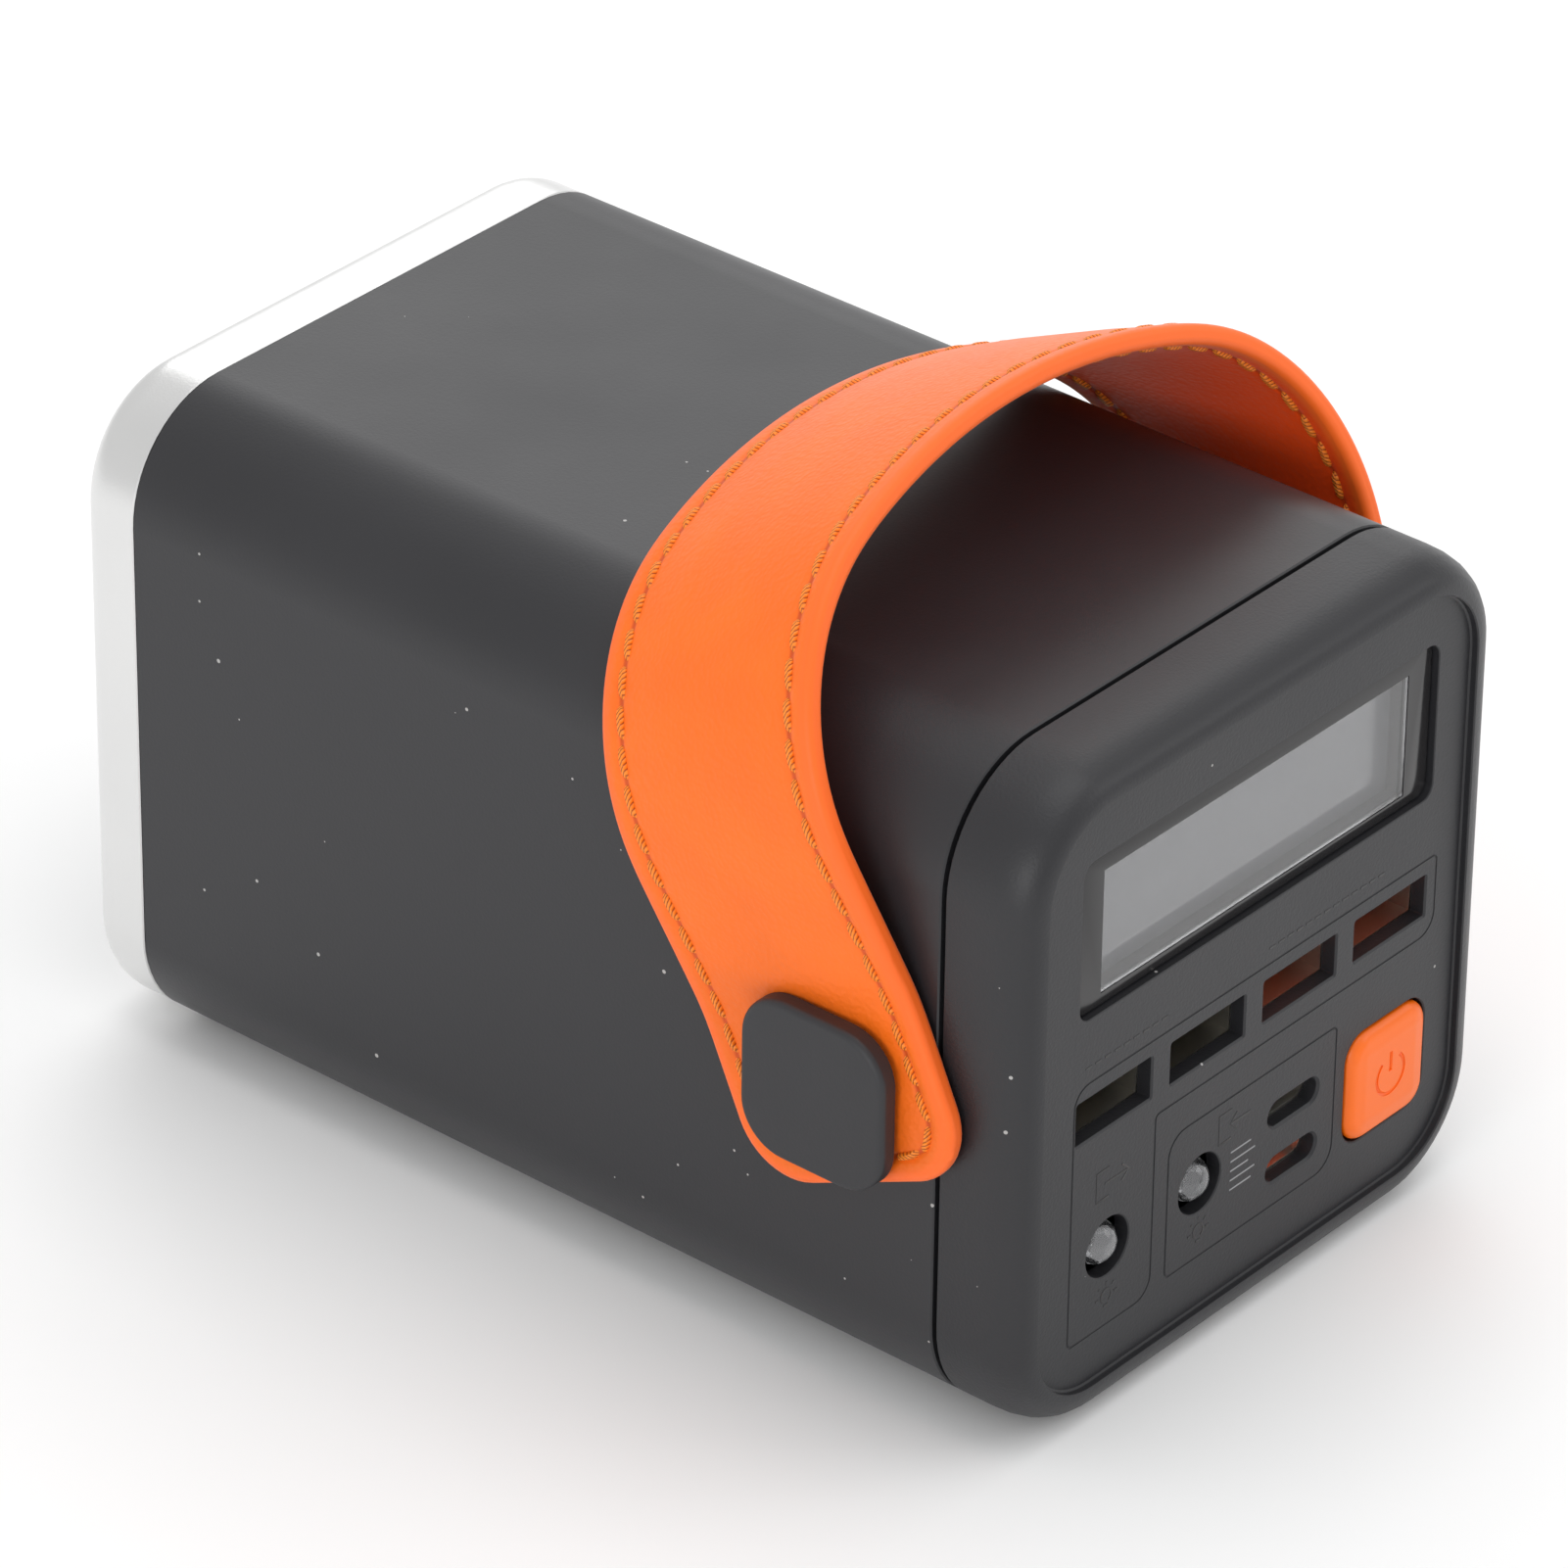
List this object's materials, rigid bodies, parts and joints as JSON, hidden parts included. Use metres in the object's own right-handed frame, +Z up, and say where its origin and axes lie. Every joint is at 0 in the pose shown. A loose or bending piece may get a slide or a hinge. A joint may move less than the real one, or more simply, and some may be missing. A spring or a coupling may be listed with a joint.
{
  "type": "portable power station",
  "caption": "Square battery power station lying on its side, with a display, sockets, lamps and a button on its front and a swinging leather carrying strap.",
  "frame": {"origin": "middle of the base that the body lies on, under the middle of its length", "axes": "+Z up, +Y along the body's length towards the silver end cap, so the front panel faces -Y; +X across the width, along the strap's pivots"},
  "size_m": [0.0966, 0.1396, 0.1068],
  "materials": {
    "shell": "fine matte dark grey",
    "silver": "satin silver",
    "leather": "smooth grained orange leather with stitched edges",
    "cap": "soft-touch dark grey",
    "eyelet_metal": "plain nickel",
    "button": "satin orange",
    "window": "tinted clear",
    "display": "unlit grey display",
    "diffuser": "white diffuser",
    "black_plastic": "black moulded",
    "orange_plastic": "orange-red moulded",
    "socket_metal": "nickel-plated sheet",
    "lamp_clear": "clear lens",
    "circuit_board": "green solder mask",
    "brass": "turned brass",
    "screw_steel": "zinc-plated",
    "ferrite": "dark ferrite",
    "can_metal": "bright can",
    "cell_wrap": "shrink-wrapped cell",
    "nickel": "nickel strip",
    "insulator": "insulating paper",
    "lead": "silicone lead"
  },
  "bodies": {
    "body": {"body_sleeve": "shell", "front_cover": "shell", "end_cap": "silver", "end_plate": "shell", "end_screws": "screw_steel", "display_window": "window", "lcd_holder": "black_plastic", "lcd_panel": "display", "lcd_backlight": "diffuser", "usb_a_shell_1": "socket_metal", "usb_a_shell_2": "socket_metal", "usb_a_shell_3": "socket_metal", "usb_a_shell_4": "socket_metal", "usb_a_tongue_1": "black_plastic", "usb_a_tongue_2": "black_plastic", "usb_a_tongue_3": "orange_plastic", "usb_a_tongue_4": "orange_plastic", "usb_c_shell_upper": "socket_metal", "usb_c_shell_lower": "socket_metal", "usb_c_tongue_upper": "black_plastic", "usb_c_tongue_lower": "orange_plastic", "lamp_left": "lamp_clear", "lamp_right": "lamp_clear", "power_switch": "black_plastic", "port_board": "circuit_board", "power_board": "circuit_board", "board_pillars": "brass", "board_screws": "screw_steel", "inductors": "ferrite", "capacitors": "can_metal", "insulation_sheet": "insulator", "cell_row_1": "cell_wrap", "cell_row_2": "cell_wrap", "cell_row_3": "cell_wrap", "cell_row_4": "cell_wrap", "cell_holder_left": "black_plastic", "cell_holder_right": "black_plastic", "nickel_strips_left": "nickel", "nickel_strips_right": "nickel", "battery_leads": "lead", "strap_cap_left": "cap", "strap_cap_right": "cap", "strap_cap_screws": "screw_steel"},
    "carry_strap": {"strap": "leather", "strap_eyelets": "eyelet_metal"},
    "button": {"power_button": "button"},
    "plunger": {"switch_plunger": "diffuser"}
  },
  "joints": [
    {"name": "strap_swing", "type": "hinge", "parent": "body", "child": "carry_strap", "pos_m": [0, -0.04555, 0.042], "axis": [1, 0, 0], "range_deg": [0, 138]},
    {"name": "button_press", "type": "slide", "parent": "body", "child": "button", "axis": [0, 1, 0], "range_m": [0, 0.0007], "stiffness_N_per_m": 900, "springref_m": -0.0008},
    {"name": "plunger_press", "type": "slide", "parent": "body", "child": "plunger", "axis": [0, 1, 0], "range_m": [0, 0.0007]}
  ],
  "couplings": [
    {"joint": "plunger_press", "follows": "button_press", "ratio": 1}
  ]
}
